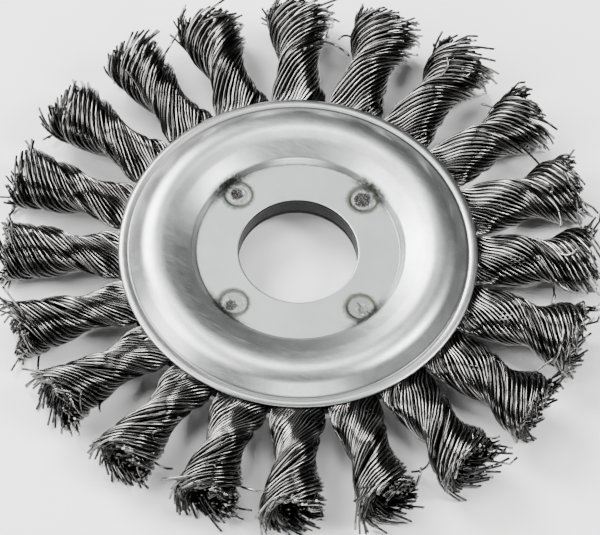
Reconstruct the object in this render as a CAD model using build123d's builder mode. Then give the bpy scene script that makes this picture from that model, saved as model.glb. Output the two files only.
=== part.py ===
from build123d import *
from math import cos, degrees, radians, sin
import os

os.makedirs("parts", exist_ok=True)

# A knotted wire wheel: hairpins of steel wire are threaded through the holes of a core disc,
# twisted into knots outside it and held between two pressed cover plates.
# Millimetres. The bore's axis is Z and the wheel's middle plane is XY. knot_01 points along +X.

# Bore and the flat seat that a tool's flanges clamp
bore_dia = 22.23
bore_chamfer = 0.3
seat_radius = 20.0

# Sheet of the covers, and the core disc between them
sheet = 1.1
core_thickness = 2.5

# Shape of a cover outside its seat: runs outward from the seat, heights above the seat's face
step_run = 0.65
step_rise = 1.2
slope_run = 4.25
crown_run = 3.4
crown_rise = 3.45
flank_run = 3.4
groove_rise = 0.15
lip_run = 1.0
lip_rise = 0.55
rim_run = 0.8
rim_rise = 0.1

# Bends of a cover's outer face
step_bend = 0.35
shoulder_bend = 1.5
crown_bend = 2.6
groove_bend = 0.5
lip_bend = 1.35

# Spot welds through both seats
weld_count = 4
weld_circle_radius = 16.6
weld_angle = 43.5
weld_mark_dia = 4.5
weld_mark_depth = 0.12
weld_pit_dia = 2.3
weld_pit_depth = 0.32

# Knots, and the holes that their hairpins go through
knot_count = 20
hole_dia = 5.2
hole_edge = 1.8
core_past_crown = 0.7
wire_clearance = 0.1
knot_gap = 0.3
root_cover = 1.3
knot_length = 22.3
tip_hollow_dia = 9.2
tip_hollow_depth = 1.8
# Sections along a knot: share of its length, width and growth in thickness as shares of the
# root's width, turn of the long axis, turn of the two legs, and depth left at their crease.
# The legs leave the covers side by side, the left one crosses over the right one, and they have
# changed sides before the knot flares. The line between them fades where they become one rope.
knot_stations = [
    (0.08, 1.054, 0.015, 0, 18, 0.86),
    (0.21, 1.105, 0.164, 5, 46, 0.86),
    (0.30, 1.064, 0.307, 26, 68, 0.88),
    (0.40, 1.105, 0.430, 54, 92, 0.90),
    (0.49, 1.126, 0.491, 78, 112, 0.92),
    (0.57, 1.024, 0.553, 106, 132, 0.94),
    (0.64, 0.993, 0.563, 142, 152, 0.95),
    (0.72, 1.116, 0.614, 172, 176, 0.95),
    (0.80, 1.259, 0.696, 195, 202, 0.95),
    (0.91, 1.361, 0.870, 214, 230, 0.95),
    (1.00, 1.371, 0.982, 228, 254, 0.95),
]
root_crease = 0.86
# Round one leg's half of a section, from crease to crease
leg_angles = [-90, -55, -20, 20, 55, 90]

bore_radius = bore_dia / 2
core_face = core_thickness / 2
seat_face = core_face + sheet
crown_inner_radius = seat_radius + step_run + slope_run
crown_outer_radius = crown_inner_radius + crown_run
groove_radius = crown_outer_radius + flank_run
lip_radius = groove_radius + lip_run
rim_radius = lip_radius + rim_run
core_radius = crown_outer_radius + core_past_crown
hole_circle_radius = core_radius - hole_edge - hole_dia / 2
root_radius = rim_radius - root_cover
tip_radius = root_radius + knot_length
knot_step = 360 / knot_count
root_width = 2 * root_radius * sin(radians(knot_step / 2)) - knot_gap
root_thickness = 2 * (seat_face + groove_rise - sheet - wire_clearance)
tip_hollow_radius = ((tip_hollow_dia / 2) ** 2 + tip_hollow_depth**2) / (2 * tip_hollow_depth)


def pressed_line(depth):
    """Points and bend radii of a cover's section, this deep under its outer face."""
    outer = [
        (bore_radius, seat_face),
        (seat_radius, seat_face),
        (seat_radius + step_run, seat_face + step_rise),
        (crown_inner_radius, seat_face + crown_rise),
        (crown_outer_radius, seat_face + crown_rise),
        (groove_radius, seat_face + groove_rise),
        (lip_radius, seat_face + lip_rise),
        (rim_radius, seat_face + rim_rise),
    ]
    bends = [step_bend, shoulder_bend, crown_bend, crown_bend, groove_bend, lip_bend]
    runs = [Vector(b[0] - a[0], b[1] - a[1]).normalized() for a, b in zip(outer, outer[1:])]
    points = [(outer[0][0], outer[0][1] - depth)]
    radii = []
    for here, bend, before, after in zip(outer[1:-1], bends, runs, runs[1:]):
        normal = Vector(before.Y + after.Y, -before.X - after.X).normalized()
        reach = depth / (normal.X * before.Y - normal.Y * before.X)
        points.append((here[0] + normal.X * reach, here[1] + normal.Y * reach))
        turns_up = before.X * after.Y - before.Y * after.X > 0
        radii.append(bend + depth if turns_up else bend - depth)
    last = runs[-1]
    points.append((outer[-1][0] + last.Y * depth, outer[-1][1] - last.X * depth))
    return points, radii


def leg_outline(width, thickness, middle, crease):
    """Points round the half of an oval section that one leg fills, from crease to crease."""
    points = []
    for angle in leg_angles:
        depth = crease if angle in (leg_angles[0], leg_angles[-1]) else 1
        x = depth * width / 2 * cos(radians(middle + angle))
        y = depth * thickness / 2 * sin(radians(middle + angle))
        points.append((x, y))
    return points


# Core disc: the ring that carries the hairpins
with BuildPart() as core_disc:
    with BuildSketch(Plane.XY.offset(-core_face)):
        Circle(core_radius)
        Circle(bore_radius, mode=Mode.SUBTRACT)
        with PolarLocations(hole_circle_radius, knot_count):
            Circle(hole_dia / 2, mode=Mode.SUBTRACT)
    extrude(amount=core_thickness)
core_disc.part.label = "core_disc"
export_step(core_disc.part, "parts/core_disc.step")

# Cover plates: one pressing, used on both sides
outer_points, outer_bends = pressed_line(0)
inner_points, inner_bends = pressed_line(sheet)
outer_start = [(bore_radius, seat_face - bore_chamfer), (bore_radius + bore_chamfer, seat_face)]
with BuildPart() as cover_plate_top:
    with BuildSketch(Plane.XZ):
        with BuildLine():
            Polyline(inner_points[0], *outer_start)
            FilletPolyline(outer_start[1], *outer_points[1:], radius=outer_bends)
            Line(outer_points[-1], inner_points[-1])
            FilletPolyline(*inner_points, radius=inner_bends)
        make_face()
    revolve(axis=Axis.Z)
    with Locations(Plane.XY.offset(seat_face)):
        with PolarLocations(weld_circle_radius, weld_count, start_angle=weld_angle):
            Hole(weld_mark_dia / 2, depth=weld_mark_depth)
            Hole(weld_pit_dia / 2, depth=weld_pit_depth)
cover_plate_top.part.label = "cover_plate_top"
export_step(cover_plate_top.part, "parts/cover_plate_top.step")

with BuildPart() as cover_plate_bottom:
    mirror(cover_plate_top.part, about=Plane.XY)
cover_plate_bottom.part.label = "cover_plate_bottom"
export_step(cover_plate_bottom.part, "parts/cover_plate_bottom.step")

# One knot along +X: its hairpins fill a hole, lie on both sides of the disc's edge ...
leg_points, leg_bends = pressed_line(sheet + wire_clearance)
leg_points = leg_points[2:]
leg_bends = leg_bends[2:]
leg_floor = core_face + wire_clearance / 2
leg_start = leg_points[0][0]
web_radius = core_radius + wire_clearance
hairpin_radius = hole_dia / 2 - wire_clearance
half_angle = degrees(root_width / 2 / root_radius)
under_points = [(r, -z) for r, z in leg_points]
plan_depth = 2 * (seat_face + crown_rise)
with BuildPart() as knot:
    with BuildSketch(Plane.XZ.rotated((0, 0, -2 * half_angle))):
        with BuildLine():
            FilletPolyline(*leg_points, radius=leg_bends)
            Line(leg_points[-1], under_points[-1])
            FilletPolyline(*under_points, radius=leg_bends)
            Polyline(
                under_points[0],
                (leg_start, -leg_floor),
                (web_radius, -leg_floor),
                (web_radius, leg_floor),
                (leg_start, leg_floor),
                leg_points[0],
            )
        make_face()
    revolve(axis=Axis.Z, revolution_arc=4 * half_angle)
    with BuildSketch(Plane.XY.offset(-plan_depth / 2)):
        with BuildLine():
            bend = CenterArc((hole_circle_radius, 0), hairpin_radius, 90, 180)
            Polyline(
                bend @ 1,
                (root_radius, -root_width / 2),
                (root_radius + knot_gap, -root_width / 2),
                (root_radius + knot_gap, root_width / 2),
                (root_radius, root_width / 2),
                bend @ 0,
            )
        make_face()
    extrude(amount=plan_depth, mode=Mode.INTERSECT)
    with BuildSketch(Plane.XY.offset(-leg_floor)):
        with Locations((hole_circle_radius, 0)):
            Circle(hairpin_radius)
    extrude(amount=2 * leg_floor)

    # ... and both legs are twisted together, right-handed, out to the flared tip
    for share, width, growth, turn, leg_turn, crease in [(0, 1, 0, 0, 0, root_crease)] + knot_stations:
        station = Plane(
            origin=(root_radius + knot_length * share, 0, 0),
            x_dir=(0, cos(radians(turn)), sin(radians(turn))),
            z_dir=(1, 0, 0),
        )
        thickness = root_thickness + growth * root_width
        leg = leg_outline(width * root_width, thickness, leg_turn - turn, crease)
        with BuildSketch(station):
            with BuildLine():
                Spline(*leg)
                Spline(*[(-x, -y) for x, y in leg])
            make_face()
    loft()

    # The wires spread where they are cut off, so the end is hollow
    with Locations((tip_radius - tip_hollow_depth + tip_hollow_radius, 0, 0)):
        Sphere(tip_hollow_radius, mode=Mode.SUBTRACT)

for index in range(knot_count):
    name = f"knot_{index + 1:02d}"
    with BuildPart() as placed_knot:
        with Locations(Rotation(0, 0, index * knot_step)):
            add(knot.part)
    placed_knot.part.label = name
    export_step(placed_knot.part, f"parts/{name}.step")

print("wheel over the tips", 2 * tip_radius, "hub", 2 * seat_face, "crown", 2 * (seat_face + crown_rise))
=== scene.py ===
# %% [markdown]
# # A knotted wire wheel
# This lesson dresses a wire wheel for an angle grinder. The real wheel is a steel disc with a bore,
# two pressed covers that are spot welded to it, and twenty bunches of hard steel wire. Each bunch
# is threaded through a hole of the disc and twisted into a knot. Almost all of the look is in two
# things: bright pressed sheet, and some three thousand single wires with dark gaps between them.

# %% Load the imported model
from math import ceil, cos, pi, radians, sin, tan

import bpy
import numpy as np
from mathutils import Matrix, Vector


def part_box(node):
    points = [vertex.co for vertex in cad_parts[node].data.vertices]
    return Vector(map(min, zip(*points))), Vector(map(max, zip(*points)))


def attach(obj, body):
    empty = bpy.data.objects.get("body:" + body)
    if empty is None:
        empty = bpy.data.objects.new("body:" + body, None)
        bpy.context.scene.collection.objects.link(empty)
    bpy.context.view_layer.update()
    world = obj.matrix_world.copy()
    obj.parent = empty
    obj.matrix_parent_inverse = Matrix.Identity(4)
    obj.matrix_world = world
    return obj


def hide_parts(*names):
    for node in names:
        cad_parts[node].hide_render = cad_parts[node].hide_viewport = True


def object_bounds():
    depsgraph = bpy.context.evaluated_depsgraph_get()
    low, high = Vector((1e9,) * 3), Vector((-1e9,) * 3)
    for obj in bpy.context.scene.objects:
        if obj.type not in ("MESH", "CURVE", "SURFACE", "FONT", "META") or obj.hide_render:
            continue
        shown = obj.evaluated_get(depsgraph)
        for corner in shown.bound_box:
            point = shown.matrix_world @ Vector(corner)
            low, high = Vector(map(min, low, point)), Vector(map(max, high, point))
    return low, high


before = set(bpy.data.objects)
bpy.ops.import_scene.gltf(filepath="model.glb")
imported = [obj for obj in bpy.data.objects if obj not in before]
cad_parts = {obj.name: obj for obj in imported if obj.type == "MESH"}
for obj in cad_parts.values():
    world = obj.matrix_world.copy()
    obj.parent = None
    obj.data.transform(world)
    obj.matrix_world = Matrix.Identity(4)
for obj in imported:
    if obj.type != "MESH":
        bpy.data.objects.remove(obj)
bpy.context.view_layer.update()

# %% [markdown]
# Every length is in metres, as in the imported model. The sizes that the covers and the knots share
# are read from it: a node's box gives the rim, the height of the crown and the ends of a knot.

# %% Sizes taken from the model
MM = 0.001
BORE_RADIUS = 11.115 * MM
cover_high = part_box("cover_plate_top")[1]
RIM_RADIUS, CROWN_TOP = cover_high[0], cover_high[2]
CORE_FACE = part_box("core_disc")[1][2]
TIP_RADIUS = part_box("knot_01")[1][0]
KNOT_NAMES = sorted(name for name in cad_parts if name.startswith("knot_"))
print("rim", RIM_RADIUS / MM, "crown", CROWN_TOP / MM, "tips", TIP_RADIUS / MM, "mm")
print(len(KNOT_NAMES), "knots")

# %% [markdown]
# ## Helpers for meshes and materials
# Both kinds of piece are long grids of points: a cover is a section carried round the axis, and a
# wire is a small ring carried along a line. Grids of that kind are worked out with numpy and handed
# to Blender in one go, which is far quicker than adding faces one by one.


# %% A mesh from arrays of points and faces
def new_mesh_object(name, points, faces, face_sizes, slots=None):
    mesh = bpy.data.meshes.new(name)
    mesh.vertices.add(len(points))
    mesh.vertices.foreach_set("co", np.asarray(points, dtype=np.float32).ravel())
    mesh.loops.add(len(faces))
    mesh.loops.foreach_set("vertex_index", np.asarray(faces, dtype=np.int32))
    mesh.polygons.add(len(face_sizes))
    starts = np.concatenate([[0], np.cumsum(face_sizes)[:-1]])
    mesh.polygons.foreach_set("loop_start", starts.astype(np.int32))
    mesh.polygons.foreach_set("use_smooth", np.ones(len(face_sizes), dtype=bool))
    if slots is not None:
        mesh.polygons.foreach_set("material_index", np.asarray(slots, dtype=np.int32))
    mesh.update(calc_edges=True)
    mesh.validate()
    piece = bpy.data.objects.new(name, mesh)
    bpy.context.scene.collection.objects.link(piece)
    return piece


# %% Short ways to write a material's nodes
TONE_NAME = "wire_tone_and_shade"


class Finish:
    """A new node material, with one call for each kind of node that this lesson uses."""

    def __init__(self, name):
        self.material = bpy.data.materials.new(name)
        self.material.use_nodes = True
        self.tree = self.material.node_tree
        self.shader = self.tree.nodes["Principled BSDF"]

    def node(self, kind, inputs=None, **settings):
        made = self.tree.nodes.new(kind)
        for setting, value in settings.items():
            setattr(made, setting, value)
        for socket, value in (inputs or {}).items():
            self.feed(made.inputs[socket], value)
        return made

    def feed(self, socket, value):
        if isinstance(value, bpy.types.NodeSocket):
            self.tree.links.new(value, socket)
        else:
            socket.default_value = value

    def shade(self, **values):
        for socket, value in values.items():
            self.feed(self.shader.inputs[socket.replace("_", " ")], value)

    def place(self):
        """The point's own place on the piece, in metres."""
        return self.node("ShaderNodeTexCoord").outputs["Object"]

    def wire_tone_and_shade(self):
        """The brightness that build_wires stores on every point of a wire: a random tone with painted
        shade in it.
        """
        return self.node("ShaderNodeAttribute", attribute_name=TONE_NAME).outputs["Fac"]

    def math(self, operation, first, second=0.0, third=0.0):
        made = self.node("ShaderNodeMath", {0: first, 1: second, 2: third}, operation=operation)
        return made.outputs[0]

    def ramp(self, value, low, high, start=0.0, end=1.0):
        """Goes from start to end while value goes from low to high, and stays there."""
        inputs = {"Value": value, "From Min": low, "From Max": high, "To Min": start, "To Max": end}
        made = self.node("ShaderNodeMapRange", inputs, interpolation_type="SMOOTHSTEP")
        return made.outputs["Result"]

    def band(self, value, middle, full, faded):
        """1 where value is within full of the middle, and 0 where it is further off than faded."""
        away = self.math("ABSOLUTE", self.math("SUBTRACT", value, middle))
        return self.ramp(away, full, faded, 1.0, 0.0)

    def noise(self, vector, scale, detail, roughness):
        inputs = {"Vector": vector, "Scale": scale, "Detail": detail, "Roughness": roughness}
        return self.node("ShaderNodeTexNoise", inputs).outputs["Fac"]

    def stretched(self, vector, factors):
        made = self.node("ShaderNodeVectorMath", {0: vector, 1: factors}, operation="MULTIPLY")
        return made.outputs["Vector"]

    def distance(self, vector, point):
        made = self.node("ShaderNodeVectorMath", {0: vector, 1: point}, operation="DISTANCE")
        return made.outputs["Value"]

    def mix(self, amount, first, second):
        made = self.node("ShaderNodeMix", {0: amount, 6: first, 7: second}, data_type="RGBA")
        return made.outputs[2]

    def bump(self, height, strength, distance, normal=None):
        inputs = {"Height": height, "Strength": strength, "Distance": distance}
        if normal is not None:
            inputs["Normal"] = normal
        return self.node("ShaderNodeBump", inputs).outputs["Normal"]


# %% [markdown]
# ## The pressed covers
# A cover is stamped from sheet 1.1 mm thick. Round the bore lies a flat seat, where the grinder's
# flanges clamp. A sharp step leads up to a crown that makes room for the hairpins, and outside the
# crown the sheet dips into a groove and ends in a small rolled lip. A lathe profile suits it best:
# the section is drawn once with its bends, then carried round the axis.


# %% A section line with rounded bends
def rounded_line(corners, bends, arc_step):
    """The corners joined by straight runs, with an arc of the given radius at each inner one."""
    corners = [Vector(corner) for corner in corners]
    line = [corners[0]]
    for before, corner, after, bend in zip(corners, corners[1:], corners[2:], bends):
        back = (before - corner).normalized()
        ahead = (after - corner).normalized()
        half_turn = (pi - back.angle(ahead)) / 2
        reach = bend * tan(half_turn)
        centre = corner + (back + ahead).normalized() * (bend / cos(half_turn))
        start = corner + back * reach - centre
        end = corner + ahead * reach - centre
        count = max(2, int(2 * half_turn / arc_step) + 1)
        for index in range(count + 1):
            share = index / count
            line.append(centre + start.lerp(end, share).normalized() * bend)
    line.append(corners[-1])
    return line


# %% The section of a cover, outside and inside
SHEET = 1.1 * MM
SEAT_FACE = CORE_FACE + SHEET
SEAT_RADIUS = 19.0 * MM
STEP_RUN, STEP_RISE = 0.85 * MM, 1.2 * MM
GROOVE_RADIUS, GROOVE_RISE = 31.7 * MM, 0.15 * MM
LIP_RADIUS, LIP_RISE = 32.7 * MM, 0.55 * MM
RIM_RISE = 0.1 * MM
BORE_CHAMFER = 0.14 * MM
# The crown is one smooth dome: a shoulder, its top and a haunch above the groove
CROWN = [(23.2 * MM, 2.72 * MM), (26.5 * MM, 3.7 * MM), (29.2 * MM, 2.62 * MM)]
OUTER_CORNERS = [
    (BORE_RADIUS + BORE_CHAMFER, SEAT_FACE),
    (SEAT_RADIUS, SEAT_FACE),
    (SEAT_RADIUS + STEP_RUN, SEAT_FACE + STEP_RISE),
    *[(radius, SEAT_FACE + rise) for radius, rise in CROWN],
    (GROOVE_RADIUS, SEAT_FACE + GROOVE_RISE),
    (LIP_RADIUS, SEAT_FACE + LIP_RISE),
    (RIM_RADIUS, SEAT_FACE + RIM_RISE),
]
OUTER_BENDS = [radius * MM for radius in (0.35, 1.2, 6.0, 5.5, 4.0, 0.5, 1.35)]
ARC_STEP = radians(5)
outer_line = rounded_line(OUTER_CORNERS, OUTER_BENDS, ARC_STEP)
crown_height = max(point.y for point in outer_line)
print("the cover's outer line has", len(outer_line), "points")
print("its top is at", crown_height / MM, "mm and the solid's at", CROWN_TOP / MM, "mm")


# %% [markdown]
# The inner side of the sheet is the same line moved in by the sheet's thickness along its normal.
# Both lines are joined into one closed section, so that the cut edge at the rim and the chamfer at
# the bore are real faces. The seat gets extra points, because the weld marks are pressed into it.


# %% A closed section of the sheet
def moved_inward(line, depth):
    """The line shifted to its under side, point by point, along the mean normal there."""
    moved = []
    for index, point in enumerate(line):
        before = line[max(index - 1, 0)]
        after = line[min(index + 1, len(line) - 1)]
        run = (after - before).normalized()
        moved.append(point + Vector((run.y, -run.x)) * depth)
    return moved


def divided(line, longest):
    """The line with points added so that no run is longer than this."""
    result = [line[0]]
    for start, end in zip(line, line[1:]):
        count = max(1, ceil((end - start).length / longest))
        result += [start.lerp(end, step / count) for step in range(1, count + 1)]
    return result


SEAT_RUN = 0.22 * MM
RIM_EDGE_SHARES = (0.12, 0.5, 0.88)
inner_line = moved_inward(outer_line, SHEET)
inner_line[0] = Vector((BORE_RADIUS, SEAT_FACE - SHEET))
rim_edge = [outer_line[-1].lerp(inner_line[-1], share) for share in RIM_EDGE_SHARES]
seat_line = divided(outer_line[:2], SEAT_RUN)
section = [Vector((BORE_RADIUS, SEAT_FACE - BORE_CHAMFER))] + seat_line + outer_line[2:]
# The inner side is never seen from near, so every other point of it is enough
section += rim_edge + inner_line[:1:-2] + inner_line[:1]
print("the closed section has", len(section), "points")

# %% [markdown]
# Four spot welds hold the covers to the disc. The electrode leaves a shallow round dish with a low
# rim, and somewhere in it the metal has spat and frozen as a rough dark pit. No two are alike, so
# each weld gets its own row of numbers. The marks catch the light, so they are pressed into the
# mesh and not only painted on.

# %% The four welds: angle, place and radius of the pit in millimetres, how burnt it is
WELD_CIRCLE = 16.6 * MM
WELD_DISH = 2.6 * MM
WELDS = [
    {"angle": 43.5, "pit": (-0.1, 0.0), "radius": 1.75, "burnt": 0.95},
    {"angle": 133.5, "pit": (-0.2, 0.2), "radius": 1.4, "burnt": 1.0},
    {"angle": 223.5, "pit": (-0.5, -0.5), "radius": 1.3, "burnt": 0.9},
    {"angle": 313.5, "pit": (0.5, -0.4), "radius": 1.15, "burnt": 0.45},
]
for weld in WELDS:
    angle = radians(weld["angle"])
    weld["centre"] = (WELD_CIRCLE * cos(angle), WELD_CIRCLE * sin(angle))
    weld["pit"] = tuple(middle + shift * MM for middle, shift in zip(weld["centre"], weld["pit"]))
print("welds at", [weld["centre"] for weld in WELDS])


# %% Depth of the weld marks at a place on the seat
DISH_DEPTH, DISH_SLOPE = 0.08 * MM, 0.5 * MM
WELD_RIM_HEIGHT, WELD_RIM_WIDTH = 0.05 * MM, 0.2 * MM
PIT_DEPTH, PIT_REACH, PIT_STEEPNESS = 0.26 * MM, 1.25, 1.3
PIT_WOBBLE, BLOB_HEIGHT = 0.08, 0.12


def weld_depth(x, y, seed):
    """How far the seat's surface lies under its flat face here, with a raised rim round each mark."""
    random = np.random.default_rng(seed)
    depth = np.zeros_like(x)
    for weld in WELDS:
        distance = np.hypot(x - weld["centre"][0], y - weld["centre"][1])
        from_pit = np.hypot(x - weld["pit"][0], y - weld["pit"][1])
        bearing = np.arctan2(y - weld["pit"][1], x - weld["pit"][0])
        wobble = sum(
            PIT_WOBBLE * np.sin(count * bearing + random.uniform(0, 2 * pi)) for count in (2, 3, 5)
        )
        pit = np.clip(PIT_REACH - from_pit / (weld["radius"] * MM * (1 + wobble)), 0, 1)
        dish = np.clip((WELD_DISH - distance) / DISH_SLOPE, 0, 1)
        rim = np.exp(-(((distance - WELD_DISH) / WELD_RIM_WIDTH) ** 2))
        blobs = random.uniform(0, BLOB_HEIGHT, x.shape) * MM * (pit > 0.1) * weld["burnt"]
        depth += DISH_DEPTH * dish + PIT_DEPTH * pit**PIT_STEEPNESS - WELD_RIM_HEIGHT * rim - blobs
    return depth


# %% Carry the section round the bore
STEPS_ROUND, STEPS_PER_WELD = 200, 33
WELD_SPREAD = 3.4 * MM / WELD_CIRCLE
# Points of the section count as the seat's face when they lie this near to it and off its edge
NEAR_FACE, OFF_EDGE = 0.01 * MM, 0.1 * MM


def cover_angles():
    """Even steps round the wheel, with finer ones across the four weld marks."""
    even = np.linspace(0, 2 * pi, STEPS_ROUND, endpoint=False)
    fine = np.linspace(-WELD_SPREAD, WELD_SPREAD, STEPS_PER_WELD)
    angles = [even] + [radians(weld["angle"]) + fine for weld in WELDS]
    return np.unique(np.round(np.concatenate(angles) % (2 * pi), 4))


def build_cover(name, side, seed):
    angles = cover_angles()
    radius = np.array([point.x for point in section])
    height = np.array([point.y for point in section])
    x = radius[None, :] * np.cos(angles)[:, None]
    y = radius[None, :] * np.sin(angles)[:, None]
    z = np.repeat(height[None, :], len(angles), axis=0)
    on_top = (height > SEAT_FACE - NEAR_FACE) & (radius < SEAT_RADIUS - OFF_EDGE)
    z = z - weld_depth(x, y, seed) * on_top[None, :]
    points = np.stack([x, y, z * side], axis=-1).reshape(-1, 3)
    rows, columns = len(angles), len(section)
    index = np.arange(rows * columns).reshape(rows, columns)
    ahead = np.roll(index, -1, axis=0)
    beside = np.roll(index, -1, axis=1)
    both = np.roll(ahead, -1, axis=1)
    quads = [index, beside, both, ahead] if side < 0 else [index, ahead, both, beside]
    faces = np.stack(quads, axis=-1).reshape(-1)
    piece = new_mesh_object(name, points, faces, np.full(rows * columns, 4))
    print(name, "has", rows * columns, "faces")
    return piece


# %% [markdown]
# The covers are bright sheet steel. Rolling leaves a fine straight grain, pressing polishes the
# crown, and the clamped seat is duller. Round each weld the heat has tinted the metal greenish
# grey, the pit is burnt black with bright beads in it, and soot has run from the weld to the step;
# past the step that dark is widened into a painted dark reflection. The groove, the corner at the
# foot of the step and the edge of the bore are darkened as painted shade. All of that depends on
# where a point lies, so the finish is worked out from the point's own place: its distance from the
# axis and from each weld.


# %% Heat, soot and a painted dark reflection round the welds
RING_WANDER, PIT_WANDER = 0.9 * MM, 1.1 * MM
RING_MIDDLE, RING_FULL, RING_FADED = WELD_DISH + 0.45 * MM, 0.15 * MM, 1.0 * MM
# Between which distances from a weld a stain fades, and from what to what
INSIDE_TINT = (2.4 * MM, 3.3 * MM, 0.5, 0.0)
SOOT_AND_REFLECTION_REACH = (3.4 * MM, 7.0 * MM, 1.0, 0.0)
# How far past its radius a pit ends, and how far inside and outside of that it starts to fade
PIT_MARGIN, PIT_FULL, PIT_FADED = 0.45 * MM, 0.3 * MM, 0.15 * MM
# Between which distances from the axis the soot gathers at the step, and where it fades past it; the
# part past the step is a painted dark reflection on the crown's inner slope
SOOT_AND_REFLECTION_GATHER = (SEAT_RADIUS - 1.3 * MM, SEAT_RADIUS - 0.1 * MM)
SOOT_AND_REFLECTION_FADES = (SEAT_RADIUS + 0.8 * MM, SEAT_RADIUS + 1.9 * MM, 1.0, 0.0)


def weld_stains(finish, flat, radius, ragged):
    """How tinted, how burnt and how sooty a place is, as three shares; past the step the soot share
    is a painted dark reflection.
    """
    tint, pit, soot_and_reflection = 0.0, 0.0, 0.0
    for weld in WELDS:
        away = finish.distance(flat, (*weld["centre"], 0))
        from_pit = finish.distance(flat, (*weld["pit"], 0))
        wobbly = finish.math("MULTIPLY_ADD", ragged, RING_WANDER, away)
        ring = finish.band(wobbly, RING_MIDDLE, RING_FULL, RING_FADED)
        inside = finish.ramp(wobbly, *INSIDE_TINT)
        tint = finish.math("MAXIMUM", finish.math("MAXIMUM", ring, inside), tint)
        wobbly_pit = finish.math("MULTIPLY_ADD", ragged, PIT_WANDER, from_pit)
        limit = weld["radius"] * MM + PIT_MARGIN
        burnt = finish.ramp(wobbly_pit, limit - PIT_FULL, limit + PIT_FADED, weld["burnt"], 0.0)
        pit = finish.math("MAXIMUM", burnt, pit)
        soot_and_reflection = finish.math("MAXIMUM", finish.ramp(wobbly, *SOOT_AND_REFLECTION_REACH), soot_and_reflection)
    by_step = finish.ramp(radius, *SOOT_AND_REFLECTION_GATHER)
    past_step = finish.ramp(radius, *SOOT_AND_REFLECTION_FADES)
    soot_and_reflection = finish.math("MULTIPLY", finish.math("MULTIPLY", by_step, past_step), soot_and_reflection)
    return tint, pit, soot_and_reflection


# %% Finish of the covers
PRESSED_STEEL, CLOUDED_STEEL = (0.6, 0.61, 0.61, 1), (0.47, 0.48, 0.48, 1)
SPECKLED_STEEL = (0.3, 0.3, 0.3, 1)
SEAT_STEEL = (0.36, 0.37, 0.37, 1)
LIP_STEEL = (0.22, 0.225, 0.225, 1)
# The groove and the corner at the foot of the step are darkened as painted shade
GROOVE_PAINTED_SHADE, CORNER_PAINTED_SHADE = (0.12, 0.12, 0.115, 1), (0.12, 0.12, 0.12, 1)
# Painted shade: the edge of the bore is coloured near black
BORE_EDGE_PAINTED_SHADE = (0.015, 0.015, 0.014, 1)
HEAT_TINT = (0.09, 0.1, 0.085, 1)
SOOT_AND_PAINTED_REFLECTION = (0.028, 0.028, 0.026, 1)
BURNT_METAL, BEADS = (0.012, 0.012, 0.011, 1), (0.25, 0.25, 0.24, 1)
GRAIN_SCALES, SCUFF_SCALES = (500, 9000, 500), (90, 1500, 300)
SPECKLE_SCALE, RAGGED_SCALE, CLOUD_SCALE = 5200.0, 1300.0, 130.0


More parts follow.
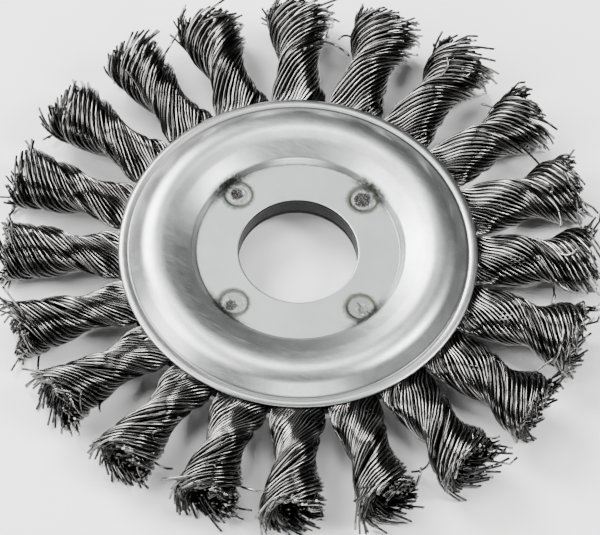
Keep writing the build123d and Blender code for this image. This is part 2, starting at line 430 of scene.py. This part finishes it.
def cover_finish(name, grain_turn):
    finish = Finish(name)
    place = finish.place()
    flat = finish.stretched(place, (1, 1, 0))
    radius = finish.node("ShaderNodeVectorMath", {0: flat}, operation="LENGTH").outputs["Value"]

    turned = finish.node("ShaderNodeVectorRotate", {"Vector": place, "Angle": grain_turn})
    turned = turned.outputs["Vector"]
    grain = finish.noise(finish.stretched(turned, GRAIN_SCALES), 1.0, 4.0, 0.6)
    scuffs = finish.noise(finish.stretched(turned, SCUFF_SCALES), 1.0, 2.0, 0.5)
    speckle = finish.noise(place, SPECKLE_SCALE, 3.0, 0.7)
    ragged = finish.noise(place, RAGGED_SCALE, 4.0, 0.65)
    cloud = finish.noise(place, CLOUD_SCALE, 4.0, 0.6)
    tint, pit, soot_and_reflection = weld_stains(finish, flat, radius, ragged)
    soot_and_reflection = finish.math("MULTIPLY", soot_and_reflection, finish.ramp(ragged, 0.25, 0.6, 0.35, 1.0))

    seat = finish.ramp(radius, SEAT_RADIUS, SEAT_RADIUS + 0.15 * MM, 1.0, 0.0)
    at_bore = finish.ramp(radius, BORE_RADIUS + 0.02 * MM, BORE_RADIUS + 0.12 * MM, 1.0, 0.0)
    at_lip = finish.ramp(radius, GROOVE_RADIUS + 0.1 * MM, LIP_RADIUS - 0.2 * MM, 0.0, 0.45)
    groove = finish.band(radius, GROOVE_RADIUS - 0.05 * MM, 0.1 * MM, 0.5 * MM)
    corner = finish.band(radius, SEAT_RADIUS + 0.02 * MM, 0.05 * MM, 0.3 * MM)

    # Each coat lies over the ones before it, as thick as its first value says
    coats = [
        (finish.ramp(cloud, 0.35, 0.7), CLOUDED_STEEL),
        (finish.ramp(speckle, 0.45, 0.7, 0.0, 0.5), SPECKLED_STEEL),
        (finish.math("MULTIPLY", seat, 0.62), SEAT_STEEL),
        # painted shade: a dark line in the groove, where the sheet dips
        (finish.math("MULTIPLY", groove, 0.8), GROOVE_PAINTED_SHADE),
        # painted shade: a ragged dark line in the corner at the foot of the step
        (finish.math("MULTIPLY", corner, ragged), CORNER_PAINTED_SHADE),
        (at_lip, LIP_STEEL),
        # painted shade on the bore's edge
        (at_bore, BORE_EDGE_PAINTED_SHADE),
        (tint, HEAT_TINT),
        # soot near the welds, and past the step a painted dark reflection
        (soot_and_reflection, SOOT_AND_PAINTED_REFLECTION),
        (pit, finish.mix(finish.ramp(speckle, 0.48, 0.62), BURNT_METAL, BEADS)),
    ]
    colour = PRESSED_STEEL
    for amount, coat in coats:
        colour = finish.mix(amount, colour, coat)

    rough = finish.ramp(grain, 0.3, 0.7, 0.3, 0.4)
    scuffed = finish.ramp(scuffs, 0.55, 0.7)
    dirty = finish.math("MAXIMUM", pit, soot_and_reflection)
    for amount, extra in ((seat, 0.1), (scuffed, 0.025), (dirty, 0.2)):
        rough = finish.math("MULTIPLY_ADD", amount, extra, rough)

    fine = finish.bump(grain, 0.35, 0.02 * MM)
    fine = finish.bump(speckle, 0.35, 0.02 * MM, fine)
    fine = finish.bump(finish.math("MULTIPLY", speckle, pit), 1.0, 0.3 * MM, fine)
    finish.shade(Base_Color=colour, Metallic=1.0, Roughness=rough, Normal=fine)
    return finish.material


# %% Both covers
for cover_name, side, seed, grain_turn in (
    ("cover_plate_top", 1, 4, radians(24)),
    ("cover_plate_bottom", -1, 9, radians(-70)),
):
    cover = build_cover("pressed_" + cover_name, side, seed)
    cover.data.materials.append(cover_finish(cover_name + "_steel", grain_turn))
    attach(cover, "root")
    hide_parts(cover_name)

# %% [markdown]
# The core disc shows only inside the bore, as the dark band between the two bright sheets. Its
# solid has the right shape already, so it keeps it and gets rolled steel with cut edges, coloured
# near black as painted shade for that dark band.


# %% Finish of the core disc
# Painted shade: the core's steel is coloured near black, for the shaded band in the bore
CORE_DARK, CORE_LIGHT = (0.008, 0.008, 0.008, 1), (0.035, 0.034, 0.033, 1)
CUT_LINE_SCALES = (1500, 1500, 12000)


def core_finish():
    finish = Finish("rolled_core_steel_painted_shade")
    place = finish.place()
    cut_lines = finish.noise(finish.stretched(place, CUT_LINE_SCALES), 1.0, 3.0, 0.6)
    patches = finish.noise(place, 400.0, 4.0, 0.6)
    colour = finish.mix(patches, CORE_DARK, CORE_LIGHT)
    rough = finish.ramp(cut_lines, 0.3, 0.7, 0.35, 0.6)
    normal = finish.bump(cut_lines, 0.5, 0.03 * MM)
    finish.shade(Base_Color=colour, Metallic=1.0, Roughness=rough, Normal=normal)
    return finish.material


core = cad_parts["core_disc"]
core.data.materials.clear()
core.data.materials.append(core_finish())
print("core disc dressed")

# %% [markdown]
# ## The knots
# A knot is a rope of hard wires, twisted right-handed. Its section is a table with a row for each
# station along it: how wide and thick the rope is there, how far its long axis has turned, and how
# far the wires have. The wires turn on their own: at the root they lean by about 30 degrees, half
# way by 45 and at the tip by more than 60.

# %% The rope's section along a knot
WIRE_RADIUS = 0.23 * MM
ROOT_RADIUS = 32.2 * MM
KNOT_LENGTH = TIP_RADIUS - ROOT_RADIUS
# Share of the length; width and thickness in millimetres; turns of the axis and wires in degrees
STATIONS = [
    (0.00, 9.7, 2.5, 0, 0),
    (0.08, 10.3, 2.7, 0, 29),
    (0.21, 10.8, 4.2, 5, 61),
    (0.30, 10.4, 5.6, 26, 87),
    (0.40, 10.8, 6.8, 54, 113),
    (0.49, 11.0, 7.4, 78, 135),
    (0.57, 10.0, 8.0, 106, 157),
    (0.64, 9.7, 8.1, 142, 183),
    (0.72, 10.9, 8.6, 172, 215),
    (0.80, 12.3, 9.4, 195, 250),
    (0.91, 13.3, 11.0, 214, 294),
    (1.00, 13.4, 12.0, 228, 328),
]
SHARES, WIDTHS, THICKNESSES, TURNS, WIRE_TURNS = np.array(STATIONS).T
print("a knot is", KNOT_LENGTH / MM, "mm long and up to", WIDTHS.max(), "mm wide")


# %% A smooth curve through the stations
def along(share, values):
    """A column of the table at these shares of the knot's length, on a cubic curve."""
    slopes = np.gradient(values, SHARES)
    cell = np.clip(np.searchsorted(SHARES, share) - 1, 0, len(SHARES) - 2)
    span = SHARES[cell + 1] - SHARES[cell]
    t = (share - SHARES[cell]) / span
    start, end = values[cell], values[cell + 1]
    curve = (2 * t**3 - 3 * t**2 + 1) * start + (3 * t**2 - 2 * t**3) * end
    curve += span * (t**3 - 2 * t**2 + t) * slopes[cell]
    curve += span * (t**3 - t**2) * slopes[cell + 1]
    return curve


def smooth_step(value, low, high):
    """Goes from 0 to 1 while value goes from low to high."""
    share = np.clip((value - low) / (high - low), 0, 1)
    return share**2 * (3 - 2 * share)


# %% [markdown]
# The two legs of the hairpins come out between the covers side by side, and each crosses over the
# other one. So in each leg the wires next to the one that crosses over it turn less than the rest
# and go deeper: they dive under it and are not seen again, and between the legs lies a dark crease,
# deepened by painted shade on the diving wires.
# Where the rope is flat, even bearings would crowd its edges, so the last correction spreads the
# wires evenly along its outline.


# %% Places of wires across the knot
CROSSED_AT = 2
CROSSED_BY = SHARES[CROSSED_AT]
CROSSED_SHARE = 0.6
CROSSED_TURN = CROSSED_SHARE * radians(WIRE_TURNS[CROSSED_AT])
CROSSED_FROM, CROSSED_TO = radians(34), radians(82)
DIVE = 1.5 * MM
DIVE_END = 0.14


def dives(bearing):
    """How far wires at these bearings dive under the other leg: 0 for none, 1 for right under it."""
    in_leg = (bearing + pi / 2) % pi - pi / 2
    return smooth_step(-in_leg, CROSSED_FROM, CROSSED_TO)


def root_bearings(count):
    """Bearings at the root of wires that are evenly spaced once the legs have crossed."""
    in_leg = np.linspace(-pi / 2, pi / 2, 91)
    crossed = in_leg - CROSSED_TURN * smooth_step(-in_leg, CROSSED_FROM, CROSSED_TO)
    steps = (np.arange(count // 2) + 0.5) / (count // 2)
    one_leg = np.interp(crossed[0] + (crossed[-1] - crossed[0]) * steps, crossed, in_leg)
    return np.concatenate([one_leg, one_leg + pi])


def place_wires(share, depth, bearing, style):
    """Places of wires this deep in the bunch, by their bearing at the root: y sideways and z up."""
    crossing = np.minimum(share, CROSSED_BY)
    turn, wire_turn, last_turn = (
        np.radians(along(place, values) * style["turn"] + style["lead"] * share)
        for place, values in ((share, TURNS), (share, WIRE_TURNS), (crossing, WIRE_TURNS))
    )
    under = dives(bearing)
    angle = bearing + wire_turn - CROSSED_SHARE * under * last_turn - turn
    width, thick = along(share, WIDTHS), along(share, THICKNESSES)
    angle += 0.5 * (width - thick) / (width + thick) * np.sin(2 * angle)
    deep = DIVE * under * smooth_step(share, 0.0, DIVE_END) + WIRE_RADIUS + depth
    u = np.maximum(width / 2 * MM * style["width"] - deep, 0) * np.cos(angle)
    v = np.maximum(thick / 2 * MM * style["thick"] - deep, 0) * np.sin(angle)
    return u * np.cos(turn) - v * np.sin(turn), u * np.sin(turn) + v * np.cos(turn)


# %% [markdown]
# Twisting bends the hard wire for good. So past the point where the bunch holds it, a wire's free
# end keeps most of its bend: it runs on round the knot and a little outward, until it is trimmed
# at the wheel's radius. Some ends are left a bit longer. That alone gives a knot its ragged crown.
#
# The bunch is filled with layers of wires, like a rope that is cut across. The outer three are
# seen along the whole knot and the inner ones only where the tip opens, so those start half way.
# The middle of the tip is trimmed lower, because the wires round it spread outward. Where the rope
# thickens, a third of the wires sinks in between the others, which leaves dark gaps, and the sunk
# wires' tone is lowered as painted shade.


# %% Layers of a bunch
# Depth in millimetres, wires in it, share of the length where they start, points, sides
LAYERS = [
    (0.00, 36, -0.05, 34, 7),
    (0.50, 36, -0.05, 26, 5),
    (1.00, 30, -0.05, 18, 4),
    (1.55, 24, 0.50, 12, 4),
    (2.40, 18, 0.50, 11, 4),
    (3.40, 12, 0.50, 10, 4),
    (4.50, 6, 0.50, 10, 4),
]
BEARING_SPREAD = 0.07
LEVEL_SPREAD = (-0.04, 0.08)
SUNK_FROM, SUNK_TO, SUNK_BY = 0.42, 0.75, 0.5 * MM
WANDER, WANDER_AT_ROOT, WANDER_GROWTH = 0.05 * MM, 0.2, 2.0
WAVES = (3, 9)
# Painted shade in the wires' tone: by depth, under the crossing leg and on sunk wires
DEPTH_SHADE, HIDDEN_SHADE, SUNK_SHADE = 3, 0.1, 0.6
print("one bunch has", sum(layer[1] for layer in LAYERS), "wires")

# %% Free ends of the wires
LEAVES = (0.84, 0.96)
TAIL_POINTS = 5
SHORTEST_TAIL, LONGEST_TAIL, LEAST_AHEAD = 0.6 * MM, 6.5 * MM, 0.3
KEPT_IN, SPRING_BACK = 0.4, 0.15
STRAY, STRAY_LENGTH = 0.08, 2 * MM
TRIM_RADIUS = TIP_RADIUS - 0.5 * MM
TRIM_SPREAD = 0.35 * MM
MEAN_OVER, LONGEST_OVER = 0.6, 2.2 * MM
TIP_HOLLOW, HOLLOW_FROM, HOLLOW_TO = 3.4 * MM, 0.6 * MM, 4.5 * MM
LARGEST_RADIUS = 57.3 * MM
HIGHEST, HIGHEST_SPREAD = 6.0 * MM, 0.35 * MM
# Neighbouring wires keep together in locks: how many, and how much of each value is a wire's own
LOCK = 4
OWN_LEAVE, OWN_WAVE, OWN_OVER, OWN_STRAY = 0.5, 0.3, 0.4, 0.5


def unit(vectors):
    return vectors / np.maximum(np.linalg.norm(vectors, axis=-1, keepdims=True), 1e-12)


def kept_low(lines):
    """Presses wires that stand up too far back towards the wheel's plane."""
    over = np.abs(lines[..., 2]) - HIGHEST
    lowered = HIGHEST + HIGHEST_SPREAD * np.tanh(over / HIGHEST_SPREAD)
    lines[..., 2] = np.where(over > 0, np.sign(lines[..., 2]) * lowered, lines[..., 2])
    return lines


def locks(values, own):
    """Values for the wires in a row: each is partly that of its lock and partly its own."""
    shared = np.repeat(values[::LOCK], LOCK)[: len(values)]
    return own * values + (1 - own) * shared


def add_tails(lines, depth, random):
    """Lines with free ends that follow on from the twist and are trimmed near the wheel's radius."""
    count = len(lines)
    last_run = lines[:, -1] - lines[:, -2]
    ahead = unit(last_run)
    outward = unit(lines[:, -1] * np.array([0, 1, 1]))
    flare = np.maximum((ahead * outward).sum(-1, keepdims=True), 0)
    ahead = unit(ahead - KEPT_IN * flare * outward)
    trim = TRIM_RADIUS - TIP_HOLLOW * smooth_step(depth, HOLLOW_FROM, HOLLOW_TO)
    over = locks(random.exponential(MEAN_OVER, count), OWN_OVER) * MM
    trim = trim + random.normal(0, TRIM_SPREAD, count) + np.minimum(over, LONGEST_OVER)
    length = (trim - lines[:, -1, 0]) / np.maximum(ahead[:, 0], LEAST_AHEAD)
    length = np.clip(length, SHORTEST_TAIL, LONGEST_TAIL)
    before = unit(lines[:, -2] - lines[:, -3])
    bend = (ahead - before) / np.linalg.norm(last_run, axis=-1, keepdims=True)
    reach = length.reshape(count, 1, 1) * np.linspace(0, 1, TAIL_POINTS + 1)[1:, None]
    stray = [locks(random.normal(0, STRAY, count), OWN_STRAY) for _ in "xyz"]
    stray = np.stack(stray, axis=-1)[:, None]
    tail = lines[:, -1:] + (ahead[:, None] + stray * (reach / STRAY_LENGTH)) * reach
    tail += 0.5 * (1 - SPRING_BACK) * bend[:, None] * reach**2
    lines = np.concatenate([lines, tail], axis=1)
    lines[..., 0] = np.minimum(lines[..., 0], np.sqrt(LARGEST_RADIUS**2 - lines[..., 1] ** 2))
    return kept_low(lines)


# %% Lines of the wires in one layer
def bunch_lines(depth, count, start, samples, style, random):
    """The wires' lines, as an array of wires by points by 3, and how bright each point is."""
    pitch = 2 * pi / count
    bearings = root_bearings(count) + random.normal(0, BEARING_SPREAD, count) * pitch
    leave = locks(random.uniform(*LEAVES, count), OWN_LEAVE)
    share = start + (leave[:, None] - start) * np.linspace(0, 1, samples - TAIL_POINTS)[None, :]
    held = np.clip(share, 0, 1)
    phase = [locks(random.uniform(0, 2 * pi, count), OWN_WAVE)[:, None] for _ in "yz"]
    pace = [locks(random.uniform(*WAVES, count), OWN_WAVE)[:, None] for _ in "yz"]

    in_three = np.arange(count)[:, None] % 3
    sunk = smooth_step(held, SUNK_FROM, SUNK_TO)
    bearings = bearings[:, None] + np.choose(in_three, (0.0, 0.5, 0.25)) * pitch * sunk
    levels = depth + random.uniform(*LEVEL_SPREAD, (count, 1)) * MM + (in_three == 2) * SUNK_BY * sunk
    y, z = place_wires(held, levels, bearings, style)
    loose = WANDER * (WANDER_AT_ROOT + WANDER_GROWTH * held**3)
    y = y + loose * np.sin(phase[0] + pace[0] * held) + style["lean"] * held**2
    z = z + loose * np.sin(phase[1] + pace[1] * held)
    lines = np.stack([ROOT_RADIUS + KNOT_LENGTH * share, y, z], axis=-1)

    # Painted shade: the tone is lowered for deep wires, for wires that dive under the other leg, and
    # for sunk wires
    hidden = dives(bearings) * smooth_step(held, 0.3 * DIVE_END, DIVE_END)
    tones = (1 - (1 - HIDDEN_SHADE) * hidden) / (1 + DEPTH_SHADE * depth / MM)
    tones *= 1 - SUNK_SHADE * sunk * (in_three == 2)
    tones = np.concatenate([tones, np.repeat(tones[:, -1:], TAIL_POINTS, axis=1)], axis=1)
    return add_tails(lines, depth, random), tones


# %% [markdown]
# A few wires of a knot have sprung out of it on the way. They leave the surface and curl away in an
# arc, as a bent wire does, so each one's direction is turned by the same amount at every step.


# %% Wires that have sprung loose
LOOSE_WIRES, LOOSE_SIDES = 3, 5
LOOSE_LEAVES = (0.62, 0.9)
HELD_FROM, OUTWARD_PULL = 0.8, 0.8
HELD_POINTS, FREE_POINTS = 6, 9
STEP_LENGTH, STEP_CURL = (0.35, 0.75), (0.04, 0.22)
LOOSE_TIP = TIP_RADIUS + 1.2 * MM


def loose_lines(count, style, random):
    """Lines that follow the bunch for a short way and then curl away from it."""
    bearings = random.uniform(0, 2 * pi, (count, 1))
    leave = random.uniform(*LOOSE_LEAVES, (count, 1))
    share = leave * np.linspace(HELD_FROM, 1, HELD_POINTS)[None, :]
    y, z = place_wires(share, 0.0, bearings, style)
    lines = np.stack([ROOT_RADIUS + KNOT_LENGTH * share, y + style["lean"] * share**2, z], axis=-1)
    ahead = unit(lines[:, -1] - lines[:, -2])
    outward = unit(lines[:, -1] * np.array([0, 1, 1]))
    aside = unit(random.normal(0, 1, (count, 3)) + OUTWARD_PULL * outward)
    aside = unit(aside - (aside * ahead).sum(-1, keepdims=True) * ahead)
    step = random.uniform(*STEP_LENGTH, (count, 1)) * MM
    curl = random.uniform(*STEP_CURL, (count, 1))
    points = [lines[:, -1]]
    for index in range(FREE_POINTS):
        angle = curl * (index + 1)
        points.append(points[-1] + (ahead * np.cos(angle) + aside * np.sin(angle)) * step)
    lines = np.concatenate([lines, np.stack(points[1:], axis=1)], axis=1)
    lines[..., 0] = np.minimum(lines[..., 0], LOOSE_TIP)
    return kept_low(lines)


# %% [markdown]
# A tube needs a pair of axes across the wire at every point. Worked out afresh each time they would
# spin and crease the tube, so each pair is carried over from the point before it and only tipped
# to stay square to the wire. Cutters leave the ends slanting, each its own way.


# %% A tube along every line
CUT_SLANT = 0.6
FIRST_AXIS = (0.0, 0.3, 1.0)


def tubes(lines, sides, random):
    """Points and faces of round wires, with a slanting cut at each outer end."""
    wires, samples, _ = lines.shape
    ahead = unit(np.gradient(lines, axis=1))
    across = np.zeros_like(lines)
    across[:, 0] = unit(np.cross(ahead[:, 0], FIRST_AXIS))
    for index in range(1, samples):
        carried, run = across[:, index - 1], ahead[:, index]
        across[:, index] = unit(carried - (carried * run).sum(-1, keepdims=True) * run)
    other = np.cross(ahead, across)
    around = np.arange(sides) * 2 * pi / sides
    spokes = across[:, :, None] * np.cos(around)[:, None]
    spokes = spokes + other[:, :, None] * np.sin(around)[:, None]
    points = lines[:, :, None] + WIRE_RADIUS * spokes
    slant = unit(random.normal(0, 1, (wires, 1, 3)))
    cut = (spokes[:, -1] * slant).sum(-1, keepdims=True) * ahead[:, -1, None]
    points[:, -1] += CUT_SLANT * WIRE_RADIUS * cut
    index = np.arange(wires * samples * sides).reshape(wires, samples, sides)
    near, far = index[:, :-1], index[:, 1:]
    walls = np.stack([near, np.roll(near, -1, axis=2), np.roll(far, -1, axis=2), far], axis=-1)
    caps = np.concatenate([index[:, 0, ::-1], index[:, -1]], axis=0)
    return points.reshape(-1, 3), walls.reshape(-1, 4), caps


# %% [markdown]
# All wires of a knot go into one mesh, in two finishes: drawn wire, and the fresh cut at its ends.
# Each wire also carries a random tone, stored on its points, so that its finish can make one wire
# a little brighter than its neighbour, as in a real bunch. Deep, sunk and hidden wires get little
# light, so their tone is lowered as painted shade.


# %% Build one knot as a mesh of single wires
TONE_SPREAD = (0.2, 1)


def build_wires(name, groups, random):
    """Joins groups of lines, each with its own number of sides and tones, in one mesh."""
    points, loops, sizes, slots, smooth, tones = [], [], [], [], [], []
    offset = 0
    for lines, sides, shade in groups:
        group_points, walls, caps = tubes(lines, sides, random)
        points.append(group_points)
        loops += [walls.ravel() + offset, caps.ravel() + offset]
        sizes += [np.full(len(walls), 4), np.full(len(caps), sides)]
        slots += [np.zeros(len(walls)), np.ones(len(caps))]
        smooth += [np.ones(len(walls), dtype=bool), np.zeros(len(caps), dtype=bool)]
        wire_tones = shade * random.uniform(*TONE_SPREAD, (len(lines), 1))
        tones.append(np.repeat(np.broadcast_to(wire_tones, lines.shape[:2]).ravel(), sides))
        offset += len(group_points)
    piece = new_mesh_object(name, *map(np.concatenate, (points, loops, sizes, slots)))
    piece.data.polygons.foreach_set("use_smooth", np.concatenate(smooth))
    tone = piece.data.attributes.new(TONE_NAME, "FLOAT", "POINT")
    tone.data.foreach_set("value", np.concatenate(tones).astype(np.float32))
    return piece


# %% All lines of one knot
def knot_style(random):
    """How one knot differs from the next: how tight, how far turned and how it leans."""
    return {
        "width": random.uniform(0.95, 1.03),
        "thick": random.uniform(0.95, 1.01),
        "turn": random.uniform(0.94, 1.06),
        "lead": random.uniform(-12, 12),
        "lean": random.uniform(-0.9, 0.6) * MM,
    }


def knot_lines(random):
    """Groups of lines, each with its number of sides and its tones."""
    style = knot_style(random)
    groups = []
    for depth, count, start, samples, sides in LAYERS:
        lines, tones = bunch_lines(depth * MM, count, start, samples, style, random)
        groups.append((lines, sides, tones))
    groups.append((loose_lines(LOOSE_WIRES, style, random), LOOSE_SIDES, 1.0))
    return groups


# %% [markdown]
# Hard drawn wire is grey and smooth, with faint lines along it from the die. It is a mirror in
# small, so it needs bright and dark things round it more than colour of its own.


# %% Finish of the wires and of their cut ends
WIRE_DARK, WIRE_BRIGHT = (0.015, 0.0147, 0.0143, 1), (0.31, 0.306, 0.3, 1)
WIRE_STAIN = (0.11, 0.1, 0.095, 1)
CUT_DARK, CUT_BRIGHT = (0.02, 0.019, 0.018, 1), (0.4, 0.395, 0.39, 1)


def wire_finish():
    finish = Finish("drawn_wire_steel")
    place = finish.place()
    tone = finish.wire_tone_and_shade()
    patches = finish.noise(place, 900.0, 3.0, 0.6)
    marks = finish.noise(place, 6000.0, 2.0, 0.6)
    # the tone carries painted shade as well as each wire's own brightness
    colour = finish.mix(tone, WIRE_DARK, WIRE_BRIGHT)
    stain = finish.ramp(patches, 0.55, 0.8, 0.0, 0.5)
    colour = finish.mix(stain, colour, WIRE_STAIN)
    rough = finish.ramp(marks, 0.3, 0.7, 0.14, 0.22)
    normal = finish.bump(marks, 0.25, 0.02 * MM)
    finish.shade(Base_Color=colour, Metallic=1.0, Roughness=rough, Normal=normal)
    return finish.material


def cut_finish():
    finish = Finish("cut_wire_ends")
    place = finish.place()
    tone = finish.wire_tone_and_shade()
    marks = finish.noise(place, 9000.0, 3.0, 0.7)
    # the tone's painted shade darkens the cut ends deep in the bunch
    lit = finish.math("MULTIPLY", marks, finish.ramp(tone, 0.0, 0.6, 0.3, 1.5))
    colour = finish.mix(lit, CUT_DARK, CUT_BRIGHT)
    normal = finish.bump(marks, 0.6, 0.05 * MM)
    finish.shade(Base_Color=colour, Metallic=1.0, Roughness=0.42, Normal=normal)
    return finish.material


# %% All knots in their places
FIRST_SEED = 100
wire_steel = wire_finish()
cut_steel = cut_finish()
for knot_index, knot_name in enumerate(KNOT_NAMES):
    random = np.random.default_rng(FIRST_SEED + knot_index)
    wires = build_wires("wires_" + knot_name, knot_lines(random), random)
    wires.data.transform(Matrix.Rotation(knot_index * 2 * pi / len(KNOT_NAMES), 4, "Z"))
    wires.data.materials.append(wire_steel)
    wires.data.materials.append(cut_steel)
    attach(wires, "root")
    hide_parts(knot_name)
print("one knot has", len(wires.data.polygons), "faces")

# %% [markdown]
# ## Floor, light and camera
# The wheel lies flat on a pale floor. Polished sheet and wire only look like steel if there is
# something to reflect, so the room is dim and the light comes from a few large soft lamps: the
# dark between them is what draws the edges of the wires.

# %% A pale floor under the wheel
FLOOR_HALF = 1.2
FLOOR_GAP = 0.02 * MM
floor_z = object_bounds()[0][2] - FLOOR_GAP
corners = [(-1, -1), (1, -1), (1, 1), (-1, 1)]
floor_points = [(x * FLOOR_HALF, y * FLOOR_HALF, floor_z) for x, y in corners]
floor = new_mesh_object("floor", floor_points, [0, 1, 2, 3], [4])
floor_finish = Finish("pale_floor")
floor_finish.shade(Base_Color=(1.0, 1.0, 1.0, 1), Roughness=0.7)
floor.data.materials.append(floor_finish.material)
print("floor at", floor_z / MM, "mm")


# %% Soft lamps
# Name, place, width and height in metres, power in watts
LAMPS = [
    ("key_upper_left", (-0.45, 0.48, 0.56), 0.45, 0.35, 14.0),
    ("side_left", (-0.7, -0.12, 0.6), 0.5, 0.8, 14.0),
    ("fill_right", (0.62, -0.12, 0.75), 0.3, 0.3, 9.0),
    ("front_low", (0.05, -0.85, 0.4), 0.6, 0.25, 4.0),
    ("top", (0.0, 0.2, 0.9), 0.4, 0.3, 3.2),
]
ROOM_LIGHT = 0.06


def soft_lamp(name, place, width, height, power):
    """A large area lamp that faces the wheel."""
    data = bpy.data.lights.new(name, "AREA")
    data.shape = "RECTANGLE"
    data.size = width
    data.size_y = height
    data.energy = power
    lamp = bpy.data.objects.new(name, data)
    lamp.location = place
    lamp.rotation_euler = (-Vector(place)).to_track_quat("-Z", "Y").to_euler()
    bpy.context.scene.collection.objects.link(lamp)


for lamp in LAMPS:
    soft_lamp(*lamp)
world = bpy.data.worlds.new("studio")
world.use_nodes = True
background = world.node_tree.nodes["Background"]
background.inputs["Color"].default_value = (1, 1, 1, 1)
background.inputs["Strength"].default_value = ROOM_LIGHT
bpy.context.scene.world = world
print(len(LAMPS), "lamps of", sum(lamp[-1] for lamp in LAMPS), "W in all")

# %% [markdown]
# The camera stands where the photograph was taken: 59 degrees above the wheel's plane and about
# 0.9 m away, with a long lens, tipped about 3 degrees to one side. The middle of the seat is at a
# known place in the picture, so the camera is moved across its view until the seat lies there.

# %% Camera
VIEW_AZIMUTH = radians(-2.5)
VIEW_ELEVATION = radians(58.84)
VIEW_ROLL = radians(3.1)
VIEW_DISTANCE = 0.9
IMAGE_WIDTH, IMAGE_HEIGHT = 600, 535
FOCAL_PIXELS = 4835.0
HUB_PIXEL = (298.3, 250.95)
SENSOR_WIDTH = 36.0

back = Vector((
    sin(VIEW_AZIMUTH) * cos(VIEW_ELEVATION),
    -cos(VIEW_AZIMUTH) * cos(VIEW_ELEVATION),
    sin(VIEW_ELEVATION),
))
right = Vector((cos(VIEW_AZIMUTH), sin(VIEW_AZIMUTH), 0.0))
up = back.cross(right)
right_rolled = right * cos(VIEW_ROLL) + up * sin(VIEW_ROLL)
up_rolled = up * cos(VIEW_ROLL) - right * sin(VIEW_ROLL)
pixel_size = VIEW_DISTANCE / FOCAL_PIXELS
aside = (IMAGE_WIDTH / 2 - HUB_PIXEL[0]) * pixel_size
below = (IMAGE_HEIGHT / 2 - HUB_PIXEL[1]) * pixel_size
hub = Vector((0, 0, SEAT_FACE))
place = hub + back * VIEW_DISTANCE + right_rolled * aside - up_rolled * below
camera_data = bpy.data.cameras.new("camera")
camera_data.sensor_width = SENSOR_WIDTH
camera_data.lens = FOCAL_PIXELS / IMAGE_WIDTH * SENSOR_WIDTH
camera_data.clip_start = 0.01
camera = bpy.data.objects.new("camera", camera_data)
axes = Matrix((right_rolled, up_rolled, back)).transposed().to_4x4()
camera.matrix_world = Matrix.Translation(place) @ axes
bpy.context.scene.collection.objects.link(camera)
bpy.context.scene.camera = camera
print("lens", round(camera_data.lens, 1), "mm, camera at", tuple(round(value, 4) for value in place))
